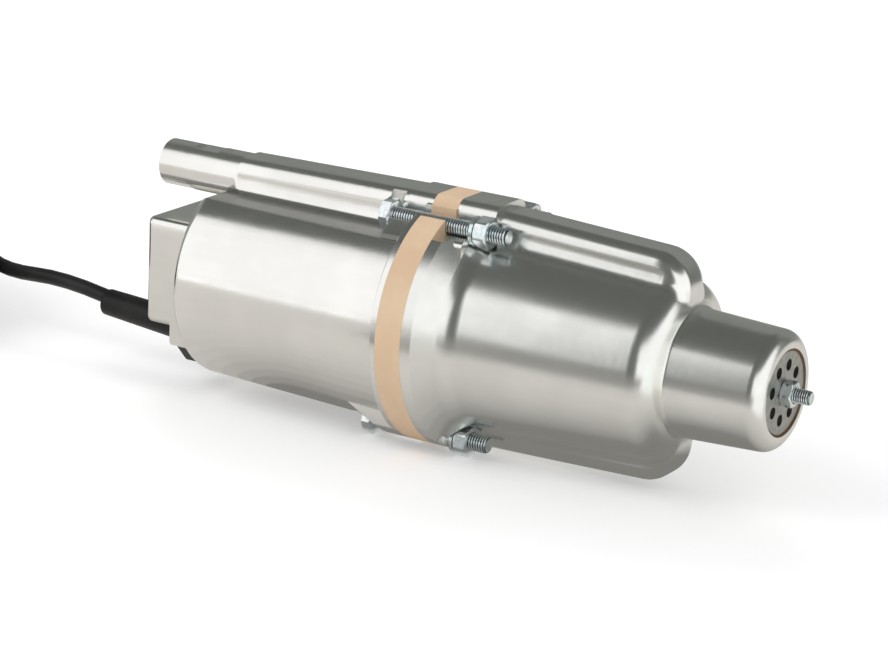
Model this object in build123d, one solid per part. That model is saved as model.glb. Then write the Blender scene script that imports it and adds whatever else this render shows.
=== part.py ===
from build123d import *
import os
from math import asin, atan2, cos, degrees, pi, radians, sin, tan

# A vibratory submersible pump that lies on its side, outlet tube up, with its mains cord and plug.
# The model is drawn about the pump's axis: X runs to the intake, Z up through the outlet tube,
# and x = 0 is the joint face of the magnet housing. Each piece is then set down on its flange.
# All sizes are in millimetres.

# Joint between the two castings
flange_radius = 43.5
rim_thickness = 10.0
rim_width = 14.9
magnet_flange_thickness = 2.5
magnet_flange_chamfer = 0.5
pump_flange_thickness = 4.0
lobe_half_width = 10.0
lobe_rise = 1.8
lobe_corner = 4.5
magnet_lobe_thickness = 10.0
pump_lobe_thickness = 15.0

# Clamp bolts, two beside the outlet lobe and two below
bolt_diameter = 6.0
bolt_length = 45.0
bolt_across_flats = 10.0
bolt_head_height = 4.0
bolt_nut_height = 5.0
bolt_tip_chamfer = 0.6
bolt_offset = 4.1
bolt_inset = 6.4
bolt_clearance = 0.4
spring_washer_thickness = 1.6
spring_washer_radius = 5.4
spring_washer_gap = 1.6
magnet_ear_top = 12.1
magnet_ear_bottom = 15.6
magnet_ear_margin = 12.9
magnet_ear_flare = 6.0
magnet_ear_shoulder = 4.0
magnet_ear_slope = 6.2
magnet_ear_sink = 1.0
pump_ear_top = 9.8
pump_ear_bottom = 6.2
pump_ear_margin = 8.9
pump_ear_round = 2.0
head_pocket_gap = 1.2
head_pocket_behind = 1.5
head_pocket_slant = 6.0
nut_seat_gap = 0.5
nut_seat_behind = 2.0

# Magnet housing
magnet_length = 89.5
magnet_flange_step = 3.8
barrel_taper = 2.5
barrel_flat_drop = 8.6
barrel_wall = 4.6
barrel_end_wall = 4.0
barrel_end_round = 3.0
core_box_depth = 24.0
core_box_wall = 3.6
core_box_round = 2.4
cheek_length = 13.0
cheek_thickness = 3.4
cheek_drop = 6.5
cheek_round = 1.2

# Outlet tube, cast along the top of the magnet housing
outlet_inset = 7.8
outlet_bore_radius = 5.8
outlet_bore_wall = 2.0
nozzle_radius = 8.3
tube_radius = 8.5
nozzle_overhang = 27.5
nozzle_tip_length = 12.5
nozzle_flat_length = 10.5
nozzle_flat_depth = 1.1
saddle_setback = 7.5
saddle_half_width_end = 9.2
saddle_half_width_joint = 9.9
saddle_tuck = 2.5
saddle_lean = 0.8
saddle_foot = 0.5
saddle_drop = 0.1
saddle_round = 5.5
saddle_side_round = 16.0

# Electromagnet
core_depth = 31.5
limb_thickness = 10.5
limb_gap = 11.0
yoke_thickness = 15.3
limb_length = 50.0
core_clearance = 0.15
bobbin_wall = 0.9
bobbin_clearance = 0.2
coil_length = 38.0
winding_thickness = 4.2
coil_end_gap = 1.2
compound_setback = 4.7
air_gap = 4.0

# Vibrator: armature, rod, hub and piston
vibrator_travel = 2.0
armature_thickness = 14.0
armature_chamfer = 1.5
rod_radius = 4.0
rod_length = 130.0
rod_end_length = 2.0
rod_tip_chamfer = 0.8
adjusting_washer_count = 3
adjusting_washer_thickness = 1.0
adjusting_washer_radius = 8.5
spacer_sleeve_radius = 7.0
hub_washer_thickness = 1.6
hub_washer_radius = 12.0
hub_radius = 9.0
hub_overhang = 3.0
hub_front_gap = 0.5
rod_nut_across_flats = 13.0
rod_nut_height = 6.5
running_gap = 0.05

# Shock absorber web, diaphragm and support disc
web_start = 2.0
web_end = 8.0
web_slope = 1.5
diaphragm_thickness = 2.0
diaphragm_seat_step = 0.6
support_disc_thickness = 5.0
support_disc_hole = 15.0
support_rib_count = 6
support_rib_width = 3.0
support_border = 2.5
seat_clearance = 0.3

# Pump housing
body_start = 22.5
pump_flange_step = 9.1
pump_flat_drop = 2.3
flange_cove = 9.0
body_taper = 3.4
shoulder_position = 95.0
shoulder_round = 9.0
nose_start = 97.6
nose_root_round = 1.0
nose_radius_start = 22.0
nose_radius_end = 20.4
nose_end = 131.8
nose_round = 5.0
pump_wall = 7.0
chamber_taper = 1.0
chamber_end = 88.0
chamber_round = 6.0
nose_bore_radius = 16.8
nose_bore_round = 2.0
nose_bore_start = 96.0
nose_wall_start = 120.0
ridge_half_width = 8.6
ridge_top_drop = 1.2
ridge_top_fall = 4.1
ridge_bottom_drop = 3.5
ridge_bottom_fall = 2.8
ridge_end = 97.0
ridge_nose_round = 13.0
ridge_depth = 19.0
ridge_edge_round = 5.5
ridge_root_round_top = 6.0
ridge_root_round_bottom = 4.5
channel_radius = 4.8
channel_drop = 1.0
channel_end = 62.0
channel_window_start = 40.0

# Piston
piston_gap = 0.9
piston_hub_radius = 10.0
piston_hub_length = 10.0
piston_rim_thickness = 3.0
piston_dish = 2.0
piston_shoulder = 4.0
piston_bush_radius = 6.2
piston_washer_radius = 10.5
piston_washer_thickness = 1.6
piston_nut_height = 5.0

# Intake valve in the nose
plate_radius = 14.0
plate_thickness = 2.5
plate_recess = 0.6
plate_hole_circle = 9.3
plate_hole_radius = 2.0
plate_hole_count = 8
plate_hole_turn = 33.0
plate_seal_width = 0.9
intake_port_ledge = 1.1
valve_side_gap = 1.1
valve_thickness = 2.4
valve_lift = 1.5
valve_seat_gap = 0.05
valve_hub_radius = 3.6
valve_hub_gap = 0.08
valve_stop_radius = 8.0
valve_stop_thickness = 1.2
stud_diameter = 5.0
stud_reach = 9.2
stud_tip_chamfer = 0.5
stud_across_flats = 8.0
stud_head_height = 3.3
stud_nut_height = 4.0
thread_clearance = 0.1

# Cable entry, cord, coil and plug
gland_depth = 13.5
gland_half_width = 16.0
gland_clearance = 0.1
gland_below_sleeve = 3.5
gland_round = 2.0
sleeve_radius = 5.65
sleeve_tip_radius = 4.9
sleeve_tip_round = 1.0
sleeve_length = 43.8
sleeve_height = -25.9
sleeve_rise = 3.0
cord_diameter = 5.6
coil_mean_radius = 38.7
coil_columns = 5
coil_layers = 8
coil_pitch = 1.02
plug_length = 36.0
plug_width = 35.0
plug_neck_width = 12.0
plug_thickness = 13.7
plug_corner_round = 3.0
plug_edge_round = 2.0
pin_radius = 2.0
pin_length = 19.0
pin_spread = 19.0

# Places that follow from the sizes above
lobe_top = flange_radius + lobe_rise
inner_seat_radius = flange_radius - rim_width
diaphragm_seat_radius = inner_seat_radius + diaphragm_seat_step
bolt_spread = lobe_half_width + bolt_offset
bolt_height = flange_radius - bolt_inset
slot_radius = bolt_diameter / 2 + bolt_clearance
head_corner = bolt_across_flats / 2 / cos(radians(30))
barrel_radius_joint = flange_radius - magnet_flange_step
barrel_radius_end = barrel_radius_joint - barrel_taper
barrel_inner_radius = barrel_radius_end - barrel_wall
barrel_flat_height = barrel_radius_joint - barrel_flat_drop
cavity_top = barrel_flat_height - barrel_wall
magnet_ear_half_width = bolt_spread + magnet_ear_margin
outlet_height = flange_radius - outlet_inset
nozzle_end = magnet_length + nozzle_overhang
nozzle_flat_end = nozzle_end - nozzle_tip_length
nozzle_flat_start = nozzle_flat_end - nozzle_flat_length
saddle_start = magnet_length - saddle_setback
saddle_top_end = outlet_height + tube_radius - saddle_drop
saddle_top_joint = lobe_top - 2 * saddle_drop
rim_end = rim_thickness
pump_flange_end = rim_end + pump_flange_thickness
pump_ear_half_width = bolt_spread + pump_ear_margin
pump_flat_height = bolt_height - pump_flat_drop
body_radius_start = flange_radius - pump_flange_step
body_radius_end = body_radius_start - body_taper
chamber_radius_start = body_radius_start - pump_wall
chamber_radius_end = chamber_radius_start - chamber_taper
ridge_top_start = lobe_top - ridge_top_drop
ridge_top_end = ridge_top_start - ridge_top_fall
ridge_bottom_start = lobe_top - ridge_bottom_drop
ridge_bottom_end = ridge_bottom_start - ridge_bottom_fall
ridge_foot = body_radius_end - ridge_depth
core_height = 2 * limb_thickness + limb_gap
core_box_end = -magnet_length - core_box_depth
core_back = core_box_end + core_box_wall + core_clearance
yoke_front = core_back + yoke_thickness
pole_face = yoke_front + limb_length
coil_start = -magnet_length + barrel_end_wall + coil_end_gap
coil_end = coil_start + coil_length
winding_inner = bobbin_clearance + bobbin_wall
winding_outer = winding_inner + winding_thickness
armature_back = pole_face + air_gap
armature_front = armature_back + armature_thickness
washers_front = armature_front + adjusting_washer_count * adjusting_washer_thickness
hub_back = -hub_overhang
rear_washer_back = hub_back - hub_washer_thickness
diaphragm_end = rim_end + diaphragm_thickness
support_end = diaphragm_end + support_disc_thickness
hub_front = diaphragm_end + vibrator_travel + hub_front_gap
hub_nut_back = hub_front + hub_washer_thickness
rod_front = armature_back + rod_length
piston_radius = chamber_radius_end - piston_gap
piston_nut_back = rod_front - piston_nut_height - rod_end_length
piston_front = piston_nut_back - piston_washer_thickness
piston_back = piston_front - piston_hub_length
plate_seal_radius = plate_radius + plate_seal_width
intake_port_radius = plate_radius - intake_port_ledge
plate_front = nose_end - plate_recess
plate_back = plate_front - plate_thickness
stud_end = nose_end + stud_reach
valve_radius = intake_port_radius - valve_side_gap
valve_front = plate_back - valve_seat_gap
valve_back = valve_front - valve_thickness
valve_stop_front = valve_back - valve_lift - seat_clearance
valve_stop_back = valve_stop_front - valve_stop_thickness
nut_inner_radius = bolt_diameter / 2 + thread_clearance
stud_hole_radius = stud_diameter / 2 + thread_clearance
axis_height = flange_radius
middle_x = (stud_end - nozzle_end) / 2


def turned(*profile):
    """Solid of revolution about the X axis; each profile point is (x, radius) or (x, radius, round)."""
    face = make_face(Polyline(*[(p[0], p[1]) for p in profile], close=True))
    for p in profile:
        if len(p) == 3:
            corner = face.vertices().sort_by_distance(Vector(p[0], p[1], 0))[0]
            face = fillet(corner, p[2])
    return revolve(face, Axis.X)


def rod_along_x(radius, start, end, y=0.0, z=0.0):
    """Round bar along X between two positions."""
    bar = Cylinder(radius, end - start, align=(Align.CENTER, Align.CENTER, Align.MIN))
    return Pos(start, y, z) * Rot(0, 90, 0) * bar


def cone_along_x(radius_start, radius_end, start, end, y=0.0, z=0.0):
    """Tapered bar along X between two positions."""
    bar = Cone(radius_start, radius_end, end - start, align=(Align.CENTER, Align.CENTER, Align.MIN))
    return Pos(start, y, z) * Rot(0, 90, 0) * bar


def block(x, y, z):
    """Box between three pairs of limits."""
    sides = (x[1] - x[0], y[1] - y[0], z[1] - z[0])
    return Pos(x[0], y[0], z[0]) * Box(*sides, align=(Align.MIN, Align.MIN, Align.MIN))


def prism_along_x(sketch, start, end):
    """Extrudes a sketch drawn in (y, z) from one position to another."""
    plane = Plane(origin=(start, 0, 0), x_dir=(0, 1, 0), z_dir=(1, 0, 0))
    return extrude(plane * sketch, end - start)


def hex_along_x(across_flats, start, end, hole_radius, y=0.0, z=0.0, turn=0.0):
    """Hexagon nut or head with chamfered corners and an optional hole."""
    corner = across_flats / 2 / cos(radians(30))
    sketch = Pos(y, z) * Rot(0, 0, turn) * RegularPolygon(corner, 6)
    nut = prism_along_x(sketch, start, end)
    slope = (corner - across_flats / 2) * 1.2
    limit = turned((start, 0), (start, across_flats / 2), (start + slope / 2, corner), (end - slope / 2, corner),
                   (end, across_flats / 2), (end, 0))
    nut = nut & (Pos(0, y, z) * limit)
    if hole_radius > 0:
        nut -= rod_along_x(hole_radius, start - 1, end + 1, y, z)
    return nut


def group(parts):
    """Separate solids that share one node."""
    return Compound([solid for part in parts for solid in part.solids()])


def lobe_section():
    """Outline of the outlet lobe, a flat arch, in (y, z)."""
    height = lobe_top - inner_seat_radius
    arch = Pos(0, inner_seat_radius + height / 2) * Rectangle(2 * lobe_half_width, height)
    top_corners = arch.vertices().group_by(Axis.Y)[-1]
    return fillet(top_corners, lobe_corner)


def bolt_places():
    """Sign of Y and of Z for each clamp bolt."""
    return [(side, level) for level in (1, -1) for side in (-1, 1)]


def bolt_slots(start, end):
    """Open slots that the clamp bolts lie in, between two positions."""
    depth = 2 * (flange_radius - bolt_height)
    slots = []
    for side, level in bolt_places():
        y, z = side * bolt_spread, level * bolt_height
        outline = Pos(y, z) * Circle(slot_radius) + Pos(y, z + level * depth / 2) * Rectangle(2 * slot_radius, depth)
        slots.append(prism_along_x(outline, start, end))
    return slots


def magnet_housing():
    barrel = turned((-magnet_length, 0), (-magnet_length, barrel_radius_end),
                    (-magnet_flange_thickness, barrel_radius_joint),
                    (-magnet_flange_thickness, flange_radius - magnet_flange_chamfer),
                    (magnet_flange_chamfer - magnet_flange_thickness, flange_radius), (0, flange_radius), (0, 0))
    barrel -= block((-magnet_length - 1, -magnet_flange_thickness), (-flange_radius, flange_radius),
                    (barrel_flat_height, lobe_top))
    barrel = fillet(barrel.faces().sort_by(Axis.X)[0].edges(), barrel_end_round)
    shell = barrel + prism_along_x(lobe_section(), -magnet_lobe_thickness, 0) + magnet_ears()
    shell += outlet_saddle() + core_box() + cheeks()
    shell += rod_along_x(nozzle_radius, -nozzle_end, -nozzle_flat_end, 0, outlet_height)
    shell += rod_along_x(tube_radius, -nozzle_flat_end, -magnet_lobe_thickness, 0, outlet_height)
    shell -= magnet_cavity()
    shell -= rod_along_x(outlet_bore_radius, -nozzle_end - 1, 1, 0, outlet_height)
    flat_bottom = outlet_height + tube_radius - nozzle_flat_depth
    shell -= block((-nozzle_flat_end, -nozzle_flat_start), (-tube_radius, tube_radius), (flat_bottom, lobe_top))
    for slot in bolt_slots(-magnet_ear_bottom - 1, 1):
        shell -= slot
    for side, level in bolt_places():
        shell -= head_pocket(side, level)
    return shell - cord_passage(cord_diameter / 2 + seat_clearance)


def magnet_ears():
    """Pads that carry the bolt heads: two low ones on the barrel's flat, and two flared ones below."""
    foot, inner = barrel_flat_height - magnet_ear_sink, saddle_half_width_end
    shoulder = bolt_spread + magnet_ear_shoulder
    outline = make_face(Polyline((inner, foot), (shoulder + magnet_ear_slope, foot), (shoulder, bolt_height),
                                 (inner, bolt_height), close=True))
    ears = prism_along_x(outline, -magnet_ear_top, 0) + prism_along_x(mirror(outline, Plane.YZ), -magnet_ear_top, 0)
    reach, half = magnet_ear_bottom + magnet_ear_flare, magnet_ear_half_width
    flare = turned((-reach, 0), (-reach, barrel_radius_joint - magnet_ear_sink),
                   (magnet_ear_flare - magnet_ear_bottom, flange_radius), (0, flange_radius), (0, 0))
    return ears + (flare & block((-reach, 0), (-half, half), (-lobe_top, -cavity_top)))


def head_pocket(side, level):
    """Room for a bolt head, run out of the ear at a slant."""
    ear = magnet_ear_top if level > 0 else magnet_ear_bottom
    y, z = side * bolt_spread, level * bolt_height
    radius = head_corner + head_pocket_gap
    back = -ear - bolt_head_height - head_pocket_behind
    room = rod_along_x(radius, back, -ear, y, z)
    room += cone_along_x(radius * 0.35, radius, back - head_pocket_slant, back, y, z)
    low, high = sorted((z, z + level * 3 * radius))
    room += block((back, -ear), (y - radius, y + radius), (low, high))
    if level > 0:
        room &= block((-magnet_length, 0), (-flange_radius, flange_radius), (barrel_flat_height, high))
    keep = outlet_bore_radius + outlet_bore_wall
    return room - rod_along_x(keep, -magnet_length, 0, 0, outlet_height)


def outlet_saddle():
    """Flat-sided part of the outlet tube where it lies on the barrel."""
    foot = cavity_top + saddle_foot
    ends = []
    for x, half_width, top in ((-saddle_start, saddle_half_width_end, saddle_top_end),
                               (-magnet_lobe_thickness + 1, saddle_half_width_joint, saddle_top_joint)):
        base, shoulder = half_width - saddle_tuck, half_width - saddle_lean
        outline = Polyline((-base, foot), (-half_width, outlet_height), (-shoulder, top), (shoulder, top),
                           (half_width, outlet_height), (base, foot), close=True)
        face = make_face(outline)
        sides = [corner for corner in face.vertices() if abs(corner.Y - outlet_height) < 0.01]
        face = fillet(sides, saddle_side_round)
        face = fillet(face.vertices().group_by(Axis.Y)[-1], saddle_round)
        plane = Plane(origin=(x, 0, 0), x_dir=(0, 1, 0), z_dir=(1, 0, 0))
        ends.append(plane * face)
    return loft([ends[0].faces()[0], ends[1].faces()[0]])


def core_pocket():
    """Hollow of the core box, round the yoke of the electromagnet."""
    half_depth = core_depth / 2 + core_clearance
    half_height = core_height / 2 + core_clearance
    back = core_box_end + core_box_wall
    return block((back, -magnet_length + barrel_end_wall), (-half_depth, half_depth), (-half_height, half_height))


def core_box():
    """Box cast on the barrel's end for the yoke."""
    half_depth = core_depth / 2 + core_clearance + core_box_wall
    half_height = core_height / 2 + core_clearance + core_box_wall
    box = block((core_box_end, -magnet_length + 1), (-half_depth, half_depth), (-half_height, half_height))
    outer_edges = box.edges() - box.faces().sort_by(Axis.X)[-1].edges()
    return fillet(outer_edges, core_box_round)


def cheeks():
    """Two short walls below the core box that hold the cable gland."""
    bottom = -(core_height / 2 + core_clearance + core_box_wall)
    both = []
    for side in (-1, 1):
        near = side * (gland_half_width + gland_clearance)
        far = near + side * cheek_thickness
        wall = block((-magnet_length - cheek_length, -magnet_length + 1), sorted((near, far)),
                     (bottom - cheek_drop, bottom + core_box_round + core_box_wall / 2))
        both.append(fillet(wall.edges().filter_by(Axis.Y), cheek_round))
    return both[0] + both[1]


def magnet_cavity():
    """Inside of the barrel, below the outlet tube, with the yoke's pocket."""
    inside = rod_along_x(barrel_inner_radius, -magnet_length + barrel_end_wall, -magnet_lobe_thickness)
    inside &= under_flat(barrel_wall)
    return inside + rod_along_x(inner_seat_radius, -magnet_lobe_thickness, 0) + core_pocket()


def under_flat(depth):
    """Space of the magnet housing more than a depth below the barrel's flat."""
    return block((-magnet_length, 0), (-flange_radius, flange_radius), (-flange_radius, barrel_flat_height - depth))


def shock_absorber():
    """Rubber rim between the castings, with a thinner web that carries the hub."""
    web_radius = inner_seat_radius - web_slope
    web = turned((web_start, 0), (web_start, web_radius), (0, inner_seat_radius), (0, flange_radius),
                 (rim_end, flange_radius), (rim_end, inner_seat_radius), (web_end, web_radius), (web_end, 0))
    ring = web + prism_along_x(lobe_section(), 0, rim_end)
    ring -= rod_along_x(hub_radius + running_gap, -1, rim_end + 1)
    ring -= rod_along_x(outlet_bore_radius, -1, rim_end + 1, 0, outlet_height)
    for slot in bolt_slots(-1, rim_end + 1):
        ring -= slot
    return ring


def diaphragm():
    """Thin rubber disc that keeps the water out of the magnet housing."""
    disc = turned((rim_end, 0), (rim_end, diaphragm_seat_radius - seat_clearance),
                  (diaphragm_end, diaphragm_seat_radius - seat_clearance), (diaphragm_end, 0))
    return disc - rod_along_x(hub_radius + running_gap, rim_end - 1, diaphragm_end + 1)


def support_disc():
    """Ribbed disc that backs the diaphragm in the pump housing."""
    radius = diaphragm_seat_radius - seat_clearance
    disc = turned((diaphragm_end, 0), (diaphragm_end, radius), (support_end, radius), (support_end, 0))
    disc -= rod_along_x(support_disc_hole, diaphragm_end - 1, support_end + 1)
    pocket_depth = support_disc_thickness / 2
    inner, outer = support_disc_hole + support_border, radius - support_border
    ring = rod_along_x(outer, support_end - pocket_depth, support_end + 1)
    ring -= rod_along_x(inner, support_end - pocket_depth, support_end + 1)
    for i in range(support_rib_count):
        half = support_rib_width / 2
        rib = block((support_end - pocket_depth, support_end + 1), (-half, half), (0, radius))
        ring -= Rot(i * 360 / support_rib_count, 0, 0) * rib
    return disc - ring


def ridge(top_start, top_end):
    """Raised rib along the pump housing with a rounded back and a domed end."""
    start = pump_flange_end - 1
    profile = Polyline((start, ridge_foot), (start, top_start), (ridge_end, top_end), (ridge_end, ridge_foot),
                       close=True)
    face = make_face(profile)
    corner = face.vertices().sort_by_distance(Vector(ridge_end, top_end, 0))[0]
    face = fillet(corner, ridge_nose_round)
    upright = Plane(origin=(0, ridge_half_width, 0), x_dir=(1, 0, 0), z_dir=(0, -1, 0))
    rib = extrude(upright * face, 2 * ridge_half_width)
    back_edges = []
    for side in rib.faces().filter_by(Axis.Y):
        back_edges += [e for e in side.edges()
                       if e.center().X > start + 1 and e.bounding_box().min.Z > ridge_foot + 1]
    return fillet(back_edges, ridge_edge_round)


def pump_ears():
    """Pads that carry the spring washers and nuts."""
    start, half = pump_flange_end - 1, pump_ear_half_width
    disc = rod_along_x(flange_radius, start, rim_end + pump_ear_top)
    top = block((start, rim_end + pump_ear_top), (-half, half), (chamber_radius_end, pump_flat_height))
    low = block((start, rim_end + pump_ear_bottom), (-half, half), (-lobe_top, -chamber_radius_end))
    pads = disc & (top + low)
    corners = [e for e in pads.edges().filter_by(Axis.X)
               if half - abs(e.center().Y) < 0.1 and abs(e.center().Z) > pump_flat_height - 0.1]
    return fillet(corners, pump_ear_round)


def pump_housing():
    slope = (body_start - pump_flange_end) / (flange_radius - body_radius_start)
    tall_end = pump_flange_end - slope * (lobe_top - flange_radius)
    shell = turned((rim_end, 0), (rim_end, lobe_top), (tall_end, lobe_top),
                   (body_start, body_radius_start, flange_cove), (shoulder_position, body_radius_end, shoulder_round),
                   (nose_start, nose_radius_start, nose_root_round), (nose_end, nose_radius_end, nose_round),
                   (nose_end, 0))
    shell += ridge(ridge_top_start, ridge_top_end)
    shell = fillet(ridge_roots(shell, 1), ridge_root_round_top)
    shell += Rot(180, 0, 0) * ridge(ridge_bottom_start, ridge_bottom_end)
    shell = fillet(ridge_roots(shell, -1), ridge_root_round_bottom)
    outer = 2 * flange_radius
    shell &= turned((rim_end, 0), (rim_end, flange_radius), (pump_flange_end, flange_radius),
                    (pump_flange_end, outer), (nose_end, outer), (nose_end, 0))
    shell += pump_ears()
    shell -= block((rim_end - 1, body_start), (-flange_radius, flange_radius), (pump_flat_height, outer))
    shell += prism_along_x(lobe_section(), rim_end, rim_end + pump_lobe_thickness)
    shell -= turned((rim_end - 1, 0), (rim_end - 1, diaphragm_seat_radius), (support_end, diaphragm_seat_radius),
                    (support_end, chamber_radius_start), (chamber_end, chamber_radius_end, chamber_round),
                    (nose_bore_start, nose_bore_radius), (nose_wall_start, nose_bore_radius, nose_bore_round),
                    (nose_wall_start, 0))
    shell -= rod_along_x(intake_port_radius, nose_wall_start - 1, nose_end)
    shell -= rod_along_x(plate_seal_radius, plate_back, nose_end + 1)
    shell -= delivery_channel()
    for slot in bolt_slots(rim_end - 1, rim_end + pump_ear_top + 1):
        shell -= slot
    for side, level in bolt_places():
        seat = nut_seat(level)
        room_end = seat + spring_washer_thickness + bolt_nut_height + nut_seat_behind
        radius = head_corner + nut_seat_gap
        shell -= rod_along_x(radius, seat, room_end, side * bolt_spread, level * bolt_height)
    return shell


def nut_seat(level):
    """Position of the face that carries the spring washer."""
    return rim_end + (pump_ear_top if level > 0 else pump_ear_bottom)


def ridge_roots(shell, level):
    """Edges where the flanks of one ridge meet the tapered body."""
    roots = []
    for edge in shell.edges():
        box, centre = edge.bounding_box(), edge.center()
        on_flank = abs(abs(centre.Y) - ridge_half_width) < 0.3 and box.size.Y < 0.6
        on_body = body_radius_end - ridge_half_width < level * centre.Z < body_radius_start
        if on_flank and on_body and box.size.X > (ridge_end - body_start) / 3:
            roots.append(edge)
    return roots


def delivery_channel():
    """Bore in the upper ridge that leads the water from the chamber to the outlet tube."""
    height = outlet_height - channel_drop
    half_width = channel_radius - channel_drop
    bore = rod_along_x(channel_radius, rim_end - 1, channel_end, 0, height)
    window = block((channel_window_start, channel_end), (-half_width, half_width),
                   (chamber_radius_end - channel_radius, height))
    return bore + window


def clamp_bolts():
    bolts = []
    for side, level in bolt_places():
        under_head = -magnet_ear_top if level > 0 else -magnet_ear_bottom
        y, z = side * bolt_spread, level * bolt_height
        head = hex_along_x(bolt_across_flats, under_head - bolt_head_height, under_head, 0, y, z)
        shank = rod_along_x(bolt_diameter / 2, under_head, under_head + bolt_length, y, z)
        tip = shank.faces().sort_by(Axis.X)[-1].edges()
        bolts.append(head + chamfer(tip, bolt_tip_chamfer))
    return group(bolts)


def clamp_nuts():
    nuts = []
    for side, level in bolt_places():
        start = nut_seat(level) + spring_washer_thickness
        nuts.append(hex_along_x(bolt_across_flats, start, start + bolt_nut_height, nut_inner_radius,
                                side * bolt_spread, level * bolt_height, 30))
    return group(nuts)


def spring_washers():
    washers = []
    for side, level in bolt_places():
        start = nut_seat(level)
        y, z = side * bolt_spread, level * bolt_height
        ring = rod_along_x(spring_washer_radius, start, start + spring_washer_thickness, y, z)
        ring -= rod_along_x(nut_inner_radius, start - 1, start + spring_washer_thickness + 1, y, z)
        half = spring_washer_gap / 2
        cut = block((start - 1, start + spring_washer_thickness + 1), (-half, half), (0, 2 * spring_washer_radius))
        washers.append(ring - Pos(0, y, z) * Rot(side * level * 60, 0, 0) * cut)
    return group(washers)


def limb_height(level):
    """Height of the middle of one limb of the core."""
    return level * (limb_gap + limb_thickness) / 2


def stator_core():
    half_depth = core_depth / 2
    core = block((core_back, yoke_front), (-half_depth, half_depth), (-core_height / 2, core_height / 2))
    for level in (-1, 1):
        middle = limb_height(level)
        core += block((core_back, pole_face), (-half_depth, half_depth),
                      (middle - limb_thickness / 2, middle + limb_thickness / 2))
    return core


def limb_jacket(level, start, end, inner, outer):
    """Rectangular tube round one limb, between two offsets from its surface."""
    middle = limb_height(level)
    jackets = []
    for offset, over in ((outer, 0), (inner, 1)):
        half_y = core_depth / 2 + offset
        half_z = limb_thickness / 2 + offset
        jackets.append(block((start - over, end + over), (-half_y, half_y), (middle - half_z, middle + half_z)))
    return jackets[0] - jackets[1]


def bobbin(level):
    """Former with a flange at each end."""
    former = limb_jacket(level, coil_start, coil_end, bobbin_clearance, winding_inner)
    former += limb_jacket(level, coil_start, coil_start + bobbin_wall, bobbin_clearance, winding_outer)
    former += limb_jacket(level, coil_end - bobbin_wall, coil_end, bobbin_clearance, winding_outer)
    return former


def winding(level):
    wound = limb_jacket(level, coil_start + bobbin_wall, coil_end - bobbin_wall, winding_inner, winding_outer)
    outer_edges = wound.edges().filter_by(Axis.X).group_by(lambda e: round(abs(e.center().Y), 3))[-1]
    return fillet(outer_edges, winding_thickness / 2)


def potting_compound():
    """Cast filling round the core and coils, up to just behind the poles."""
    front = coil_end - compound_setback
    fill = rod_along_x(barrel_inner_radius - running_gap, -magnet_length + barrel_end_wall, front)
    fill &= under_flat(barrel_wall + running_gap)
    fill += core_pocket()
    fill -= stator_core()
    for level in (-1, 1):
        middle = limb_height(level)
        half_y = core_depth / 2 + winding_outer
        half_z = limb_thickness / 2 + winding_outer
        fill -= block((coil_start, coil_end), (-half_y, half_y), (middle - half_z, middle + half_z))
    return fill


def armature():
    half_depth = core_depth / 2
    plate = block((armature_back, armature_front), (-half_depth, half_depth), (-core_height / 2, core_height / 2))
    plate = chamfer(plate.edges().filter_by(Axis.Y), armature_chamfer)
    return plate - rod_along_x(rod_radius, armature_back - 1, armature_front + 1)


def vibrator_rod():
    rod = rod_along_x(rod_radius, armature_back, rod_front)
    return chamfer(rod.faces().sort_by(Axis.X)[-1].edges(), rod_tip_chamfer)


def ring_on_rod(radius, start, end, hole=rod_radius + running_gap):
    """Washer or sleeve on the rod."""
    return rod_along_x(radius, start, end) - rod_along_x(hole, start - 1, end + 1)


def adjusting_washers():
    washers = []
    for i in range(adjusting_washer_count):
        start = armature_front + i * adjusting_washer_thickness
        washers.append(ring_on_rod(adjusting_washer_radius, start, start + adjusting_washer_thickness))
    return group(washers)


def hub_washers():
    rear = ring_on_rod(hub_washer_radius, rear_washer_back, hub_back)
    front = ring_on_rod(hub_washer_radius, hub_front, hub_nut_back)
    return group([rear, front])


def rod_nut(start, height):
    """Nut on the vibrator rod."""
    return hex_along_x(rod_nut_across_flats, start, start + height, rod_radius + running_gap)


def piston():
    """Rubber piston: a thick hub and a dished rim."""
    lip = piston_back + piston_rim_thickness
    disc = turned((piston_back, 0), (piston_back, piston_radius, 1.0), (lip, piston_radius, 0.8),
                  (lip + piston_dish, piston_hub_radius + piston_shoulder), (piston_front, piston_hub_radius),
                  (piston_front, 0))
    return disc - rod_along_x(piston_bush_radius, piston_back - 1, piston_front + 1)


def piston_washers():
    rear = ring_on_rod(piston_washer_radius, piston_back - piston_washer_thickness, piston_back)
    front = ring_on_rod(piston_washer_radius, piston_front, piston_nut_back)
    return group([rear, front])


def piston_nuts():
    rear = rod_nut(piston_back - piston_washer_thickness - piston_nut_height, piston_nut_height)
    return group([rear, rod_nut(piston_nut_back, piston_nut_height)])


def valve_plate():
    plate = rod_along_x(plate_radius, plate_back, plate_front)
    plate -= rod_along_x(stud_hole_radius, plate_back - 1, plate_front + 1)
    for i in range(plate_hole_count):
        turn = radians(plate_hole_turn + i * 360 / plate_hole_count)
        y, z = plate_hole_circle * cos(turn), plate_hole_circle * sin(turn)
        plate -= rod_along_x(plate_hole_radius, plate_back - 1, plate_front + 1, y, z)
    return plate


def plate_seal():
    """Rubber ring that holds the valve plate in the nose."""
    ring = rod_along_x(plate_seal_radius - running_gap, plate_back, plate_front - seat_clearance)
    return ring - rod_along_x(plate_radius + running_gap, plate_back - 1, plate_front + 1)


def intake_valve():
    """Rubber disc that lifts off the plate to let water in."""
    disc = turned((valve_back, 0), (valve_back, valve_radius - 1.0), (valve_front - 1.0, valve_radius),
                  (valve_front, valve_radius), (valve_front, 0))
    return disc - rod_along_x(valve_hub_radius + valve_hub_gap, valve_back - 1, valve_front + 1)


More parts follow.
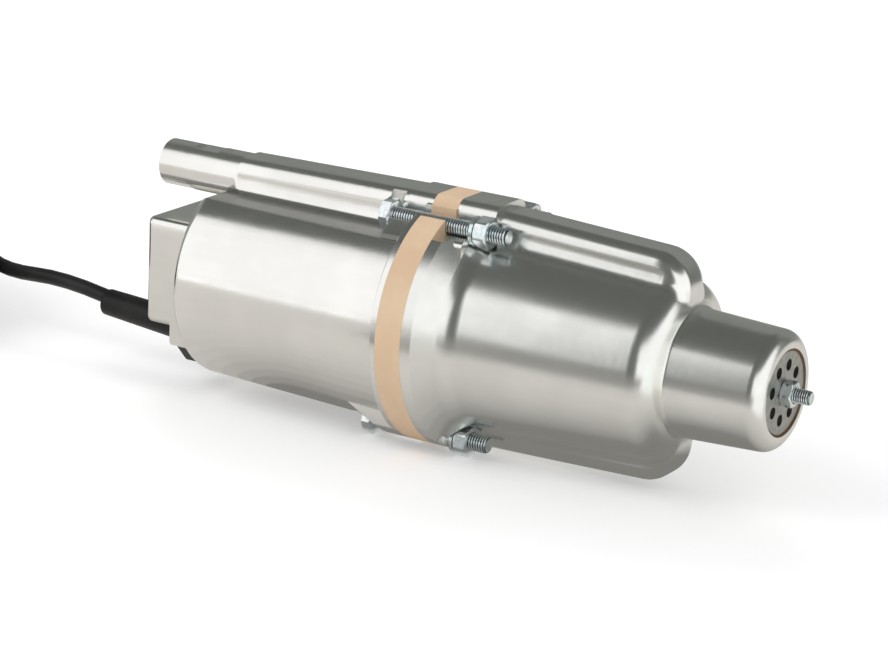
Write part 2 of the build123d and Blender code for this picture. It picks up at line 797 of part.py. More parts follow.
def valve_bush():
    """Sleeve that the intake valve slides on."""
    bush = rod_along_x(valve_hub_radius, valve_stop_front, plate_back)
    return bush - rod_along_x(stud_hole_radius, valve_stop_front - 1, plate_back + 1)


def valve_stop():
    stop = rod_along_x(valve_stop_radius, valve_stop_back, valve_stop_front)
    return stop - rod_along_x(stud_hole_radius, valve_stop_back - 1, valve_stop_front + 1)


def valve_stud():
    head = hex_along_x(stud_across_flats, valve_stop_back - stud_head_height, valve_stop_back, 0)
    shank = rod_along_x(stud_diameter / 2, valve_stop_back, stud_end)
    return head + chamfer(shank.faces().sort_by(Axis.X)[-1].edges(), stud_tip_chamfer)


def valve_nut():
    return hex_along_x(stud_across_flats, plate_front, plate_front + stud_nut_height, stud_hole_radius)


gland_top = -(core_height / 2 + core_clearance + core_box_wall)
gland_end = -magnet_length - gland_depth
sleeve_turn = degrees(asin(sleeve_rise / sleeve_length))
cord_start = -magnet_length + barrel_end_wall - seat_clearance


def sleeve_line(x):
    """Height of the sleeve's axis at a position."""
    return sleeve_height + (gland_end - x) * tan(radians(sleeve_turn))


def cord_passage(radius):
    """Straight hole for the cord, sloped like the sleeve, from inside the barrel out to the gland's end."""
    reach = gland_depth + barrel_end_wall + 2
    hole = Pos(gland_end, 0, sleeve_height) * Rot(0, sleeve_turn, 0) * rod_along_x(radius, -1, reach)
    return hole & block((gland_end - 1, cord_start + 1), (-radius, radius), (-flange_radius, gland_top))


def cable_gland():
    """Rubber block round the cord where it enters the housing."""
    bottom = sleeve_height - sleeve_radius - gland_below_sleeve
    outline = Polyline((-gland_half_width, gland_top), (-gland_half_width, gland_top - cheek_drop),
                       (-gland_half_width / 2, bottom), (gland_half_width / 2, bottom),
                       (gland_half_width, gland_top - cheek_drop), (gland_half_width, gland_top), close=True)
    body = prism_along_x(make_face(outline), gland_end, -magnet_length)
    body = fillet(body.edges().filter_by(Axis.X).group_by(Axis.Z)[0], gland_round)
    return body - cord_passage(cord_diameter / 2)


def cable_sleeve():
    """Bend protector: a tapered rubber sleeve round the cord."""
    sleeve = Cone(sleeve_radius, sleeve_tip_radius, sleeve_length, align=(Align.CENTER, Align.CENTER, Align.MIN))
    sleeve = fillet(sleeve.faces().sort_by(Axis.Z)[-1].edges(), sleeve_tip_round)
    sleeve -= Cylinder(cord_diameter / 2, 3 * sleeve_length)
    sleeve = Pos(gland_end + 1, 0, sleeve_line(gland_end + 1)) * Rot(0, sleeve_turn, 0) * Rot(0, -90, 0) * sleeve
    outside = block((gland_end - 2 * sleeve_length, gland_end), (-flange_radius, flange_radius), (-flange_radius, 0))
    return sleeve & outside


# Route of the cord from the barrel's end wall to the coil, and from the coil to the plug
coil_turn_gap = cord_diameter * coil_pitch
coil_outer_turn = coil_mean_radius + coil_turn_gap * (coil_columns - 1) / 2
coil_top_turn = cord_diameter / 2 + coil_turn_gap * (coil_layers - 1) - axis_height
coil_x, coil_side = -256.5, 24.9
coil_centre = Vector(coil_x, coil_side - coil_outer_turn, 0)
cord_route = [(cord_start, 0, sleeve_line(cord_start)), (-128, 0, -24.2), (-180, 0.3, -20.4), (-208, 6, -14.6),
              (-233, 17.6, -5.6), (coil_x, coil_side, coil_top_turn)]
floor_turn = cord_diameter / 2 - axis_height
plug_middle = plug_thickness / 2 - axis_height
tail_route = [(coil_x, coil_side, floor_turn), (-283.5, 24.2, floor_turn + 0.7), (-310.5, 12, plug_middle),
              (-324, -10, plug_middle)]


def route_radii(points):
    """Arc radius at each inner point: 0.45 of its shorter run over the tangent of half its turn."""
    places = [Vector(*p) for p in points]
    radii = []
    for before, here, after in zip(places, places[1:], places[2:]):
        first, second = here - before, after - here
        turn = radians(first.get_angle(second))
        radii.append(0.45 * min(first.length, second.length) / tan(turn / 2))
    return radii


def cord_piece(name, points):
    """Round cord along straight runs joined by tangent arcs."""
    radii = route_radii(points)
    print(name, "radii", [round(r) for r in radii])
    path = FilletPolyline(*points, radius=radii)
    section = Plane(origin=path @ 0, z_dir=path % 0) * Circle(cord_diameter / 2)
    tube = sweep(section, path=path)
    expected = pi * cord_diameter ** 2 / 4 * path.length
    print(name, "length", round(path.length, 1), "volume", round(tube.volume, 1), "expected", round(expected, 1))
    return tube


def cord_coil():
    """Outer shape of the coiled cord."""
    half_width = (coil_turn_gap * (coil_columns - 1) + cord_diameter) / 2
    height = coil_turn_gap * (coil_layers - 1) + cord_diameter
    section = Pos(coil_mean_radius, height / 2) * RectangleRounded(2 * half_width, height, cord_diameter * 0.45)
    ring = revolve(Plane.XZ * section, Axis.Z)
    return Pos(coil_centre.X, coil_centre.Y, -axis_height) * ring


def plug_frame():
    """Place of the plug: its cord end at the end of the tail, pins away from the cord."""
    before, end = tail_route[-2:]
    heading = atan2(end[1] - before[1], end[0] - before[0])
    return Pos(*end) * Rot(0, 0, degrees(heading))


def plug_body():
    half, neck = plug_width / 2, plug_neck_width / 2
    outline = Polyline((0, -neck), (plug_length * 0.35, -neck), (plug_length * 0.65, -half), (plug_length, -half),
                       (plug_length, half), (plug_length * 0.65, half), (plug_length * 0.35, neck), (0, neck), close=True)
    body = extrude(Pos(0, 0, -plug_thickness / 2) * make_face(outline), plug_thickness)
    body = fillet(body.edges().filter_by(Axis.Z), plug_corner_round)
    rims = body.faces().filter_by(Axis.Z).edges()
    return plug_frame() * fillet(rims, plug_edge_round)


def plug_pins():
    pins = []
    for side in (-1, 1):
        pin = rod_along_x(pin_radius, plug_length, plug_length + pin_length, side * pin_spread / 2, 0)
        pin = fillet(pin.faces().sort_by(Axis.X)[-1].edges(), pin_radius * 0.6)
        pins.append(plug_frame() * pin)
    return group(pins)


pieces = {
    "magnet_housing": magnet_housing(),
    "pump_housing": pump_housing(),
    "shock_absorber": shock_absorber(),
    "clamp_bolts": clamp_bolts(),
    "clamp_nuts": clamp_nuts(),
    "spring_washers": spring_washers(),
    "stator_core": stator_core(),
    "bobbin_upper": bobbin(1),
    "bobbin_lower": bobbin(-1),
    "winding_upper": winding(1),
    "winding_lower": winding(-1),
    "potting_compound": potting_compound(),
    "diaphragm": diaphragm(),
    "support_disc": support_disc(),
    "armature": armature(),
    "vibrator_rod": vibrator_rod(),
    "adjusting_washers": adjusting_washers(),
    "spacer_sleeve": ring_on_rod(spacer_sleeve_radius, washers_front, rear_washer_back),
    "absorber_hub": ring_on_rod(hub_radius, hub_back, hub_front),
    "hub_washers": hub_washers(),
    "hub_nut": rod_nut(hub_nut_back, rod_nut_height),
    "piston": piston(),
    "piston_bush": ring_on_rod(piston_bush_radius - running_gap, piston_back, piston_front),
    "piston_washers": piston_washers(),
    "piston_nuts": piston_nuts(),
    "valve_plate": valve_plate(),
    "plate_seal": plate_seal(),
    "intake_valve": intake_valve(),
    "valve_bush": valve_bush(),
    "valve_stop": valve_stop(),
    "valve_stud": valve_stud(),
    "valve_nut": valve_nut(),
    "cable_gland": cable_gland(),
    "cable_sleeve": cable_sleeve(),
    "cord_run": cord_piece("cord_run", cord_route),
    "cord_coil": cord_coil(),
    "plug_tail": cord_piece("plug_tail", tail_route),
    "plug_body": plug_body(),
    "plug_pins": plug_pins(),
}

os.makedirs("parts", exist_ok=True)
for name, piece in pieces.items():
    export_step(Pos(-middle_x, 0, axis_height) * piece, f"parts/{name}.step")
print(len(pieces), "nodes")
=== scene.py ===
# %% [markdown]
# A vibratory submersible pump lies on a pale table. Its two halves are cast aluminium, a tan rubber
# shock absorber is clamped between them, and a black mains cord leaves it on the left. The solids come
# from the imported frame. This script gives them their finishes, and replaces the small pieces whose real
# detail is finer than a plain solid: the threads, nuts, washers and cord.

# %% Load the frame
from math import cos, exp, pi, radians, sin, tan

import bmesh
import bpy
from mathutils import Matrix, Vector


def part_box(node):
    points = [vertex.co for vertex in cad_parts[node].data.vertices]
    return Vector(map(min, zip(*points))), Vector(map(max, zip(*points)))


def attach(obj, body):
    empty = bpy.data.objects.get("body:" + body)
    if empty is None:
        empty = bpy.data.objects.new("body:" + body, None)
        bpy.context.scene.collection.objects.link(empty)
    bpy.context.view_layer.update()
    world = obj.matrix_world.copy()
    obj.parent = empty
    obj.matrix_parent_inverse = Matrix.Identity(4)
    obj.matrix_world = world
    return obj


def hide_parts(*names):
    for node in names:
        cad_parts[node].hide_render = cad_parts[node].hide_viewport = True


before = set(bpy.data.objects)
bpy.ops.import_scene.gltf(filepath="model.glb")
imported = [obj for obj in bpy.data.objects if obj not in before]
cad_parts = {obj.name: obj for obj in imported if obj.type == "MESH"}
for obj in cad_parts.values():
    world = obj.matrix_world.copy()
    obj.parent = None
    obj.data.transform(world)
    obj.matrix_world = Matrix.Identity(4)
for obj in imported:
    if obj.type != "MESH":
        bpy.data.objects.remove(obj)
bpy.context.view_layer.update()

MM = 0.001

# %% [markdown]
# The part was drawn about the pump's axis, and then set down on its flange. One vector takes a point
# from the drawing, with x = 0 at the joint face, to the frame. Every size below is in millimetres in
# the drawing's frame, and `place` makes it a point in metres.

# %% From the drawing to the frame
flange_low, flange_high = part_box("shock_absorber")
joint_x = flange_low.x
axis_z = 43.5 * MM


def place(x, y, z):
    """A point of the drawing, in millimetres, as a point of the frame, in metres."""
    return Vector((joint_x + x * MM, y * MM, axis_z + z * MM))


print("joint face at", round(joint_x, 4))

# %% [markdown]
# The camera stands about a metre away, to the front and right of the intake, and looks a little down.
# Its place and its long lens were worked out from the circles of the two castings, which all share the
# pump's axis. Two directions fix how it is turned: the one it looks in, and the one that is up for it.

# %% Camera
image_width = 888
focal_pixels = 3108.6
camera_place = place(532.7, -883.1, 310.2)
view_direction = Vector((-0.4933, 0.8191, -0.2928)).normalized()
view_up = Vector((-0.1919, 0.2258, 0.9551))

camera_data = bpy.data.cameras.new("camera")
camera_data.sensor_width = 36
camera_data.lens = focal_pixels / image_width * camera_data.sensor_width
camera = bpy.data.objects.new("camera", camera_data)
view_right = view_direction.cross(view_up).normalized()
view_up = view_right.cross(view_direction)
camera_turn = Matrix((view_right, view_up, -view_direction)).transposed().to_4x4()
camera.matrix_world = Matrix.Translation(camera_place) @ camera_turn
bpy.context.scene.collection.objects.link(camera)
bpy.context.scene.camera = camera
print("lens", round(camera_data.lens, 1), "mm")

# %% [markdown]
# The mains cord leaves the gland through a bend protector, rises a little and comes onto a coil that
# holds the rest of its 10 m. One open NURBS spline is the whole cord, and its points carry its radius.
# Where the cord runs free, its control points are the route's own points. In the coil they come from a
# loop: five turns to a layer, eight layers, and each turn steps over to the next one in its last
# quarter, as a wound cord does.

# %% Cord
cord_diameter = 5.6
cord_route = [(-85.8, 0, -27.08), (-128, 0, -24.2), (-166, 0, -17.8), (-194, 0.5, -20.5), (-214, 7, -16.5),
              (-233, 17.6, -5.6)]
coil_mean_radius = 38.7
coil_columns = 5
coil_layers = 8
turn_gap = cord_diameter * 1.02
points_per_turn = 16
floor_height = -43.5 + cord_diameter / 2
coil_top = floor_height + turn_gap * (coil_layers - 1)
coil_outer = coil_mean_radius + turn_gap * (coil_columns - 1) / 2
coil_centre = Vector((-256.5, 24.9 - coil_outer, 0))
plug_height = -43.5 + 13.7 / 2
tail_route = [(-283.5, 24.2, floor_height + 0.7), (-310.5, 12, plug_height), (-324, -10, plug_height)]


def turn_slot(number):
    """Radius and height of one turn, counted from the outside of the top layer."""
    layer, column = divmod(number, coil_columns)
    if layer % 2:
        column = coil_columns - 1 - column
    return coil_outer - column * turn_gap, coil_top - layer * turn_gap


def coil_points():
    """Control points of the coiled length, a little outside the turns that the spline makes of them."""
    turns = coil_layers * coil_columns
    step_share = 0.25
    points = []
    for i in range(turns * points_per_turn):
        travelled = (i + 0.5) / points_per_turn
        number = int(travelled)
        share = max(0.0, (travelled - number - 1 + step_share) / step_share)
        here, after = turn_slot(number), turn_slot(min(number + 1, turns - 1))
        ease = share * share * (3 - 2 * share)
        radius = here[0] + (after[0] - here[0]) * ease
        height = here[1] + (after[1] - here[1]) * ease
        angle = pi / 2 + 2 * pi * travelled
        reach = radius / cos(pi / points_per_turn)
        points.append((coil_centre.x + reach * cos(angle), coil_centre.y + reach * sin(angle), height))
    return points


def spline_curve(name, points, radius):
    """Round cord along a smooth open spline through the frame."""
    curve = bpy.data.curves.new(name, "CURVE")
    curve.dimensions = "3D"
    spline = curve.splines.new("NURBS")
    spline.points.add(len(points) - 1)
    for control, point in zip(spline.points, points):
        control.co = (*place(*point), 1)
        control.radius = radius * MM
    spline.order_u = 3
    spline.use_endpoint_u = True
    curve.resolution_u = 4
    curve.bevel_depth = 1.0
    curve.bevel_resolution = 5
    curve.use_fill_caps = True
    obj = bpy.data.objects.new(name, curve)
    bpy.context.scene.collection.objects.link(obj)
    return obj


cord = spline_curve("mains_cord", cord_route + coil_points() + tail_route, cord_diameter / 2)
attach(cord, "pump")
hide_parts("cord_run", "cord_coil", "plug_tail")
place(*cord_route[0])
print("cord of", len(cord.data.splines[0].points), "control points")

# %% [markdown]
# The table is a plain white sheet, and the room is a light studio. Metal shows what stands round it, so
# the studio's shape is the look of the castings. One large white window is left open between grey cards,
# to the left of the camera: it makes the bright band along each casting. Everything behind and above is
# darker, and so is the table close to the pump, where its own shadow lies: a stack of thin cards shows
# that shadow to reflections. Cards show only in reflections. Soft lamps light the rubber and the cord,
# and metal doesn't mirror them. Their light thins out over the far floor, so the floor glows there for
# the rays that look at it.

# %% Studio
floor_size = 6.0
floor_glow = {"near": 0.3, "far": 0.75, "near_distance": 0.6, "far_distance": 2.0}


def seen_rays(tree):
    """1 for rays that look at a surface, straight or in a mirror or glass, 0 for rays that light it."""
    light_path = tree.nodes.new("ShaderNodeLightPath")
    seen = None
    for ray in ("Is Camera Ray", "Is Glossy Ray", "Is Transmission Ray"):
        step = tree.nodes.new("ShaderNodeMath")
        step.operation = "MAXIMUM"
        tree.links.new(light_path.outputs[ray], step.inputs[0])
        if seen:
            tree.links.new(seen, step.inputs[1])
        seen = step.outputs[0]
    return seen


def studio_sheet(name, corners, color, emission):
    """A flat sheet that isn't part of the pump."""
    mesh = bpy.data.meshes.new(name)
    mesh.from_pydata(corners, [], [tuple(range(len(corners)))])
    obj = bpy.data.objects.new(name, mesh)
    bpy.context.scene.collection.objects.link(obj)
    material = bpy.data.materials.new(name)
    material.use_nodes = True
    shader = material.node_tree.nodes["Principled BSDF"]
    shader.inputs["Base Color"].default_value = (*color, 1)
    shader.inputs["Roughness"].default_value = 0.9
    shader.inputs["Specular IOR Level"].default_value = 0.0
    shader.inputs["Emission Color"].default_value = (*emission, 1)
    shader.inputs["Emission Strength"].default_value = 1
    mesh.materials.append(material)
    return obj


def card(name, corners, level, tint=(1, 1.02, 1)):
    """A card that only reflections see."""
    obj = studio_sheet(name, corners, (0, 0, 0), tuple(level * share for share in tint))
    obj.visible_camera = False
    obj.visible_diffuse = False
    obj.visible_shadow = False
    return obj


half = floor_size / 2
floor_corners = [(-half, -half, 0), (half, -half, 0), (half, half, 0), (-half, half, 0)]
floor = studio_sheet("floor", floor_corners, (0.8, 0.8, 0.8), (0, 0, 0))
tree = floor.active_material.node_tree
distance = tree.nodes.new("ShaderNodeVectorMath")
distance.operation = "LENGTH"
tree.links.new(tree.nodes.new("ShaderNodeTexCoord").outputs["Object"], distance.inputs[0])
glow = tree.nodes.new("ShaderNodeMapRange")
tree.links.new(distance.outputs["Value"], glow.inputs["Value"])
glow_sockets = {"From Min": "near_distance", "From Max": "far_distance", "To Min": "near", "To Max": "far"}
for socket, value in glow_sockets.items():
    glow.inputs[socket].default_value = floor_glow[value]
seen_glow = tree.nodes.new("ShaderNodeMath")
seen_glow.operation = "MULTIPLY"
tree.links.new(glow.outputs["Result"], seen_glow.inputs[0])
tree.links.new(seen_rays(tree), seen_glow.inputs[1])
tree.links.new(seen_glow.outputs["Value"], tree.nodes["Principled BSDF"].inputs["Emission Color"])
print("floor", floor_size, "m wide")

# %% [markdown]
# The world is the white room behind the cards. Rays that look at it see full white, and it lights the
# rubber at a lower share, so that the lamps still give the form.

# %% World
wall_white = 1.0
diffuse_share = 0.23
world = bpy.data.worlds.new("studio")
world.use_nodes = True
tree = world.node_tree
background = tree.nodes["Background"]
background.inputs["Color"].default_value = (1, 1, 1, 1)
strength = tree.nodes.new("ShaderNodeMapRange")
strength.inputs["To Min"].default_value = diffuse_share
strength.inputs["To Max"].default_value = wall_white
tree.links.new(seen_rays(tree), strength.inputs["Value"])
tree.links.new(strength.outputs["Result"], background.inputs["Strength"])
bpy.context.scene.world = world
print("world ready")

# %% [markdown]
# The grey cards stand in a ring, and each level is what the metal shows there. The turn is counted from
# the pump's intake, with the camera at -60 degrees. No card stands in the window, from -160 to -108, and
# the ceiling card reaches less far out over it. A low grey board closes the window's right foot. A second,
# lower window before the intake lights the flange's front and the round end of the nose.

# %% Cards
ceiling_height = 1.3
card_distance = 1.2
window_start = -160
window_end = -108
window_top = 51
foot_start = -121
foot_top = 0.1
front_window = (-65, 35)
front_window_top = 0.85
walls = [(window_end, front_window[0], 0.12), (front_window[1], 60, 0.12), (60, 180, 0.22),
         (180, 360 + window_start, 0.3)]
card_turn = 20
ceiling_overlap = 1.02
wall_tint = (0.98, 1.03, 0.97)
table_tint = (1.0, 0.97, 0.92)

ceiling = []
for i in range(72):
    turn = -180 + 5 * i
    over_window = window_start < turn < window_end
    reach = ceiling_height / tan(radians(window_top)) if over_window else card_distance * ceiling_overlap
    ceiling.append((reach * cos(radians(turn)), reach * sin(radians(turn)), ceiling_height))
card("ceiling_card", ceiling, 0.11, wall_tint)


def upright_card(name, start, end, top, level, bottom=0.0):
    """An upright card, from one turn to another."""
    corners = [(card_distance * cos(radians(turn)), card_distance * sin(radians(turn)), z)
               for turn, z in ((start, bottom), (end, bottom), (end, top), (start, top))]
    return card(name, corners, level, wall_tint)


card_count = 0
for wall_start, wall_end, level in walls:
    steps = round((wall_end - wall_start) / card_turn)
    width = (wall_end - wall_start) / steps
    for i in range(steps):
        start = wall_start + width * i
        upright_card(f"side_card_{card_count}", start, start + width, ceiling_height, level)
        card_count += 1
upright_card("foot_card", foot_start, window_end, foot_top, 0.22)
for i, start in enumerate(range(*front_window, card_turn)):
    end = start + card_turn
    upright_card(f"front_card_{i}", start, end, ceiling_height, 0.14, bottom=front_window_top)

print(card_count, "side cards")

# %% [markdown]
# On the table, each thin card of the stack is a little smaller and darker than the one below it, so the
# level falls smoothly towards the pump. Two more cards lie on the table: a grey one before the camera,
# where the photograph's room was darker, and a bright one before the intake.

# %% Table cards
shadow_ends = (-0.06, 0.09)
shadow_reach = [1.15, 0.16, 0.12, 0.095, 0.078, 0.066, 0.056, 0.048, 0.041, 0.034, 0.028, 0.022]
card_gap = 0.0003
table_far, table_near = 0.63, 0.17
shadow_edge, shadow_width = 0.02, 0.025
table_shade = [(-0.1, -0.15, 0.006), (-0.55, -1.15, 0.006), (0.8, -1.15, 0.006), (0.25, -0.15, 0.006)]
table_light = [(0.17, -0.12, 0.006), (0.95, -0.6, 0.006), (0.95, 0.5, 0.006), (0.2, 0.1, 0.006)]


def shadow_outline(reach, height):
    """Long round outline on the table, at a distance from the pump's axis."""
    corners = []
    for i in range(48):
        turn = 2 * pi * (i + 0.5) / 48
        end = shadow_ends[1] if cos(turn) > 0 else shadow_ends[0]
        corners.append((end + reach * cos(turn), reach * sin(turn), height))
    return corners


for i, reach in enumerate(shadow_reach):
    level = table_near + (table_far - table_near) * (1 - exp(-(reach - shadow_edge) / shadow_width))
    card(f"shadow_card_{i}", shadow_outline(reach, card_gap * (i + 1)), level, table_tint)
card("table_shade", table_shade, 0.24, table_tint)
card("table_light", table_light, 0.95)
print(len(shadow_reach), "shadow cards")

# %% [markdown]
# Three large soft lamps stand where such a studio has them. Their light gives the rubber its form and
# the pump its soft shadow.

# %% Lamps
def soft_lamp(name, location, size, power):
    """A large soft lamp aimed at the pump, which metal doesn't mirror."""
    data = bpy.data.lights.new(name, "AREA")
    data.shape = "SQUARE"
    data.size = size
    data.energy = power
    lamp = bpy.data.objects.new(name, data)
    lamp.location = location
    lamp.rotation_euler = (-Vector(location)).to_track_quat("-Z", "Y").to_euler()
    lamp.visible_glossy = False
    bpy.context.scene.collection.objects.link(lamp)
    return lamp


soft_lamp("key_lamp", (-0.9, -1.1, 1.2), 1.0, 11)
soft_lamp("back_lamp", (-0.8, 1.1, 1.3), 1.0, 8)
soft_lamp("fill_lamp", (1.2, -0.9, 1.0), 1.0, 4.5)
bpy.context.scene.view_settings.view_transform = "Standard"
print("studio ready")

# %% [markdown]
# A finish is a small graph of shader nodes. Written out node by node it hides what it does, so two small
# classes let it be written as a sum. `Wire` is one output of a node, and + - and * on it add Math nodes,
# also with a number on the left. `Finish` is a material, and its one method `node` adds any other
# node: its kind, its settings, and then what goes into its sockets.

# %% Shader helper
class Wire:
    """One output of a node."""

    def __init__(self, finish, socket):
        self.finish = finish
        self.socket = socket

    def maths(self, operation, first, second):
        return self.finish.node("ShaderNodeMath", {"operation": operation}, {0: first, 1: second})

    def __add__(self, other):
        return self.maths("ADD", self, other)

    def __radd__(self, other):
        return self.maths("ADD", other, self)

    def __sub__(self, other):
        return self.maths("SUBTRACT", self, other)

    def __rsub__(self, other):
        return self.maths("SUBTRACT", other, self)

    def __mul__(self, other):
        return self.maths("MULTIPLY", self, other)

    def __rmul__(self, other):
        return self.maths("MULTIPLY", other, self)


class Finish:
    """A material for the pieces of one kind."""

    def __init__(self, name, **constants):
        self.material = bpy.data.materials.new(name)
        self.material.use_nodes = True
        self.tree = self.material.node_tree
        self.shader = self.tree.nodes["Principled BSDF"]
        for socket, value in constants.items():
            self.shader.inputs[socket.replace("_", " ")].default_value = value

    def node(self, kind, settings=None, inputs=None, output=0):
        """Adds a node with its settings set first, and returns one of its outputs."""
        made = self.tree.nodes.new(kind)
        for name, value in (settings or {}).items():
            setattr(made, name, value)
        for name, value in (inputs or {}).items():
            self.feed(made.inputs[name], value)
        return Wire(self, made.outputs[output])

    def feed(self, socket, value):
        if isinstance(value, Wire):
            self.tree.links.new(value.socket, socket)
        else:
            socket.default_value = value

    def place_of_point(self, scale=1.0, stretch=(1, 1, 1)):
        """The point's own place on the piece, in millimetres over `scale`, stretched along the axes."""
        place_out = self.node("ShaderNodeTexCoord", output="Object")
        factors = tuple(1000 * s / scale for s in stretch)
        return self.node("ShaderNodeVectorMath", {"operation": "MULTIPLY"}, {0: place_out, 1: factors})

    def noise(self, size, stretch=(1, 1, 1), detail=3.0, roughness=0.5):
        """Grey noise whose grains are about `size` millimetres, 0 to 1."""
        inputs = {"Vector": self.place_of_point(size, stretch), "Scale": 1.0, "Detail": detail,
                  "Roughness": roughness}
        return self.node("ShaderNodeTexNoise", {}, inputs, "Fac")

    def mix(self, factor, first, second):
        """Blends two colours."""
        inputs = {"Factor": factor, 6: first, 7: second}
        return self.node("ShaderNodeMix", {"data_type": "RGBA"}, inputs, 2)

    def steps(self, value, low, high):
        """0 below `low`, 1 above `high`, and smooth between them."""
        return self.node("ShaderNodeMapRange", {"interpolation_type": "SMOOTHSTEP"},
                         {"Value": value, "From Min": low, "From Max": high}, "Result")

    def ramp(self, value, places, results):
        """A straight change from one result to another between two places."""
        inputs = {"Value": value, "From Min": places[0], "From Max": places[1], "To Min": results[0],
                  "To Max": results[1]}
        return self.node("ShaderNodeMapRange", {}, inputs, "Result")

    def bump(self, height, distance_mm, normal=None):
        """Turns a height into small relief."""
        inputs = {"Height": height, "Distance": distance_mm * MM}
        if normal:
            inputs["Normal"] = normal
        return self.node("ShaderNodeBump", {}, inputs)

    def soft_edges(self, radius_mm):
        """A normal that rounds sharp edges by a small radius."""
        return self.node("ShaderNodeBevel", {"samples": 6}, {"Radius": radius_mm * MM})

    def surface(self, **wires):
        for socket, value in wires.items():
            self.feed(self.shader.inputs[socket.replace("_", " ")], value)
        return self

    def on(self, *names):
        """Puts the finish on CAD nodes or pieces."""
        for name in names:
            mesh = bpy.data.objects[name].data
            mesh.materials.clear()
            mesh.materials.append(self.material)
        return self


print("shader helper ready")

# %% [markdown]
# Both castings are aluminium that was tumbled after casting: satin, with faint clouds where the polish
# is uneven, and a fine grain. The magnet housing is the brighter one, and the pump housing is a little
# darker, greener and softer in its reflections. One function makes both finishes. The clouds change the
# roughness and the colour a little, and the grain changes the normal.
#
# The magnet housing has three places of its own, which its heights and lengths tell apart. The hollow
# where the outlet tube meets the barrel is painted shade: a darker grey, also made rougher. The tube's
# side leans out to the hollow as a skirt does, and the yoke's box has crowned sides. These two slopes
# are added to the normal.

# %% Cast aluminium
hollow_bottom, hollow_top = 74.45, 75.6
# The hollow's darker grey is painted shade.
hollow_painted_shade = (0.48, 0.48, 0.46, 1)
hollow_dullness, tube_dullness = 0.3, 0.06
skirt_low, skirt_high, skirt_start = 74.6, 81.4, -96.0
skirt_lean = 0.78
box_end, box_low, box_high = -99.5, 28.0, 70.0
box_lean = (-0.5, 0.3)


def cast_aluminium(name, bright, dull, roughness, is_magnet_housing=False):
    """Tumbled casting. The magnet housing's own places are in the frame's millimetres."""
    finish = Finish(name, Metallic=1.0, IOR=1.5)
    clouds = finish.noise(22, detail=4.0)
    streaks = finish.noise(5.0, stretch=(0.12, 1, 1), detail=3.0)
    grain = finish.noise(0.55, detail=2.0, roughness=0.6)
    dimples = finish.noise(2.6, detail=2.0)
    brush = finish.noise(0.45, stretch=(0.06, 1, 1), detail=1.0)
    shade = finish.steps(clouds * 0.7 + streaks * 0.3, 0.36, 0.66)
    color = finish.mix(shade, dull, bright)
    rough = roughness + (1 - shade) * 0.04 + grain * 0.03
    relief = grain * 0.5 + dimples * 1.2 + streaks * 0.6 + brush * 0.4
    normal = finish.bump(relief, 0.012)
    if is_magnet_housing:
        length = finish.node("ShaderNodeSeparateXYZ", {}, {0: finish.place_of_point()}, 0)
        height = finish.node("ShaderNodeSeparateXYZ", {}, {0: finish.place_of_point()}, 2)
        tube = finish.steps(height, hollow_top, hollow_top + 1.0)
        hollow = finish.steps(height, hollow_bottom - 0.2, hollow_bottom) * (1 - tube)
        # painted shade: the hollow where the tube meets the barrel is mixed to a darker grey
        color = finish.mix(hollow, color, hollow_painted_shade)
        rough = rough + hollow * hollow_dullness + tube * tube_dullness
        skirt = finish.ramp(height, (skirt_low, skirt_high), (skirt_lean, 0.0)) * tube
        skirt = skirt * finish.steps(length, skirt_start, skirt_start + 1.5)
        crown = finish.ramp(height, (box_low, box_high), box_lean)
        below_tube = 1 - finish.steps(height, box_high, box_high + 1.0)
        on_box = (1 - finish.steps(length, box_end - 0.5, box_end)) * below_tube
        lean = finish.node("ShaderNodeCombineXYZ", {}, {2: skirt + crown * on_box})
        leaning = finish.node("ShaderNodeVectorMath", {"operation": "ADD"}, {0: normal, 1: lean})
        normal = finish.node("ShaderNodeVectorMath", {"operation": "NORMALIZE"}, {0: leaning})
    return finish.surface(Base_Color=color, Roughness=rough, Normal=normal)


cast_aluminium("magnet_casting", (0.98, 0.97, 0.94, 1), (0.93, 0.92, 0.89, 1), 0.14, True).on("magnet_housing")
cast_aluminium("pump_casting", (0.97, 0.975, 0.94, 1), (0.92, 0.925, 0.89, 1), 0.21).on("pump_housing")
print("castings finished")

# %% [markdown]
# The shock absorber is moulded tan rubber. Its rim is matt and even, with a fine moulding grain and a
# little dust, so it gets a high roughness, a faint change of colour and very low relief. The seals, the
# gland and the cord are other rubbers, and the same function makes them with their own colours.

# %% Rubber
def rubber(name, base, worn, roughness, grain_mm=0.6, relief=0.03):
    finish = Finish(name, Metallic=0.0, Specular_IOR_Level=0.35)
    clouds = finish.noise(14, detail=3.0)
    grain = finish.noise(grain_mm, detail=2.0)
    shade = finish.steps(clouds, 0.38, 0.68)
    finish.surface(Base_Color=finish.mix(shade * 0.8 + grain * 0.2, base, worn),
                   Roughness=roughness + (grain - 0.5) * 0.12,
                   Normal=finish.bump(grain, relief, finish.soft_edges(0.4)))
    return finish


rubber("tan_rubber", (0.66, 0.47, 0.31, 1), (0.72, 0.54, 0.37, 1), 0.62).on("shock_absorber")
rubber("brown_rubber", (0.17, 0.085, 0.045, 1), (0.24, 0.13, 0.075, 1), 0.6).on("plate_seal", "piston")
black_rubber = rubber("black_rubber", (0.008, 0.008, 0.008, 1), (0.016, 0.016, 0.015, 1), 0.42)
black_rubber.on("cable_gland", "cable_sleeve", "diaphragm", "intake_valve")
cord_finish = rubber("cord_rubber", (0.010, 0.010, 0.010, 1), (0.02, 0.02, 0.019, 1), 0.36, 0.9, 0.02)
cord_finish.on("mains_cord")
print("rubber finished")
